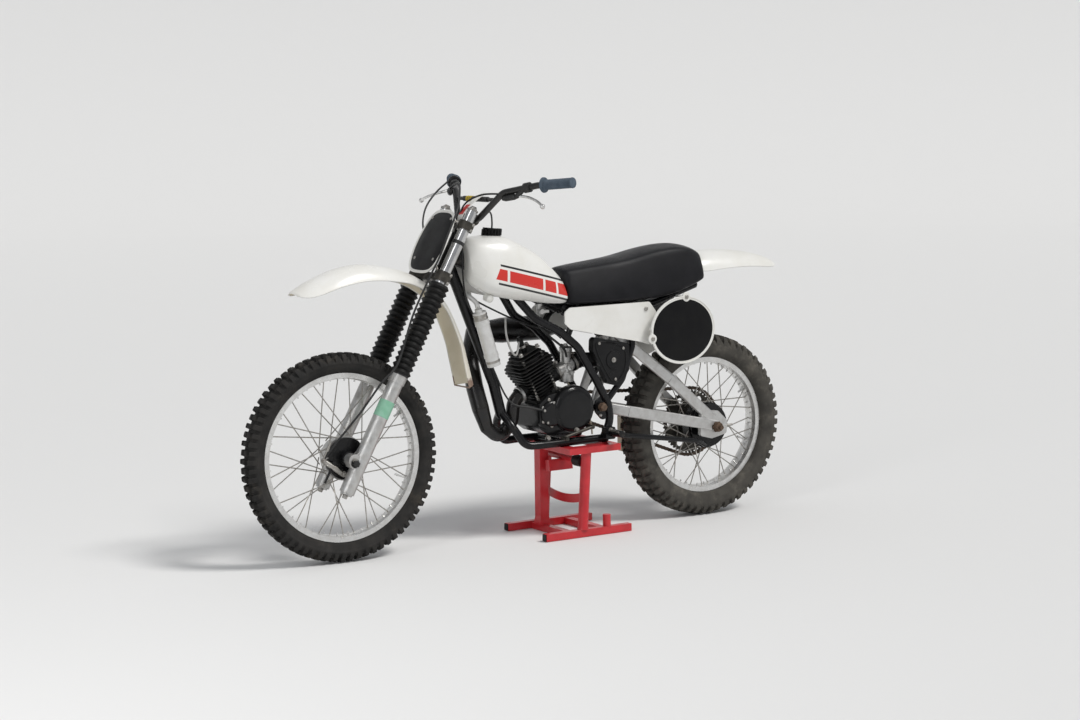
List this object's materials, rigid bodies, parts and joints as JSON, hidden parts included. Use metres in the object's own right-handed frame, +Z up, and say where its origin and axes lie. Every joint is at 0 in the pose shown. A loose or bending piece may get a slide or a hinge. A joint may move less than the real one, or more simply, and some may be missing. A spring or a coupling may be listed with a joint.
{
  "type": "motocross motorcycle on a paddock stand",
  "caption": "Single-shock off-road motorcycle with knobbly tyres, triangulated swingarm and open two-stroke engine, held upright by a red paddock stand under its frame.",
  "frame": {"origin": "On the ground under the middle of the motorcycle's length and width.", "axes": "+X points forward, +Y to the rider's left and +Z up."},
  "size_m": [2.1425, 0.8616, 1.263],
  "materials": {
    "tyre_rubber": "matt",
    "alloy": "brushed",
    "zinc_steel": "plated",
    "rusty_steel": "rusty",
    "black_frame_paint": "gloss",
    "black_engine_paint": "satin",
    "black_exhaust_paint": "satin",
    "red_paint": "gloss",
    "white_plastic": "gloss",
    "black_plastic": "satin",
    "black_rubber": "matt",
    "seat_cover": "satin",
    "chrome_bar": "polished",
    "silver_canister": "satin"
  },
  "bodies": {
    "chassis": {"frame_backbone": "black_frame_paint", "frame_down_tube": "black_frame_paint", "frame_cradle": "black_frame_paint", "frame_side_tubes": "black_frame_paint", "frame_subframe": "black_frame_paint", "pivot_bolt": "rusty_steel", "engine_cases": "black_engine_paint", "engine_covers": "black_engine_paint", "cylinder": "black_engine_paint", "cylinder_head": "black_engine_paint", "spark_plug": "black_rubber", "carburettor": "alloy", "airbox": "black_plastic", "exhaust_pipe": "black_exhaust_paint", "silencer": "black_exhaust_paint", "fuel_tank": "white_plastic", "filler_cap": "black_plastic", "seat": "seat_cover", "rear_fender": "white_plastic", "side_panels": "white_plastic", "side_number_plates": "white_plastic", "swingarm": "alloy", "rear_axle": "rusty_steel", "shock_absorber": "black_frame_paint", "reservoir": "silver_canister", "chain": "rusty_steel", "front_sprocket": "zinc_steel", "chain_guide": "white_plastic", "footpegs": "black_frame_paint", "shift_lever": "zinc_steel", "brake_pedal": "black_frame_paint", "kick_lever": "zinc_steel", "rear_brake_plate": "black_engine_paint", "brake_torque_arm": "black_frame_paint", "stand_base": "red_paint", "stand_platform": "red_paint"},
    "fork": {"lower_clamp": "alloy", "upper_clamp": "alloy", "fork_tubes": "zinc_steel", "fork_gaiters": "black_rubber", "fork_legs": "alloy", "front_axle": "zinc_steel", "front_brake_plate": "black_engine_paint", "front_fender": "white_plastic", "front_number_plate": "black_plastic", "handlebar": "chrome_bar", "grips": "black_rubber", "hand_levers": "alloy"},
    "front_wheel": {"front_tyre": "tyre_rubber", "front_rim": "alloy", "front_hub": "alloy", "front_spokes": "zinc_steel"},
    "rear_wheel": {"rear_tyre": "tyre_rubber", "rear_rim": "alloy", "rear_hub": "alloy", "rear_spokes": "zinc_steel", "rear_sprocket": "alloy"}
  },
  "joints": [
    {"name": "steering", "type": "hinge", "parent": "chassis", "child": "fork", "pos_m": [0.28356, 0, 0.99477], "axis": [-0.4848, 0, 0.8746], "range_deg": [-35, 41]},
    {"name": "front_wheel_spin", "type": "hinge", "parent": "fork", "child": "front_wheel", "pos_m": [0.72092, -0.00366, 0.34995], "axis": [0.0458, 0.9986, 0.0254], "continuous": true},
    {"name": "rear_wheel_spin", "type": "hinge", "parent": "chassis", "child": "rear_wheel", "pos_m": [-0.744, 0, 0.327], "axis": [0, 1, 0], "continuous": true}
  ]
}
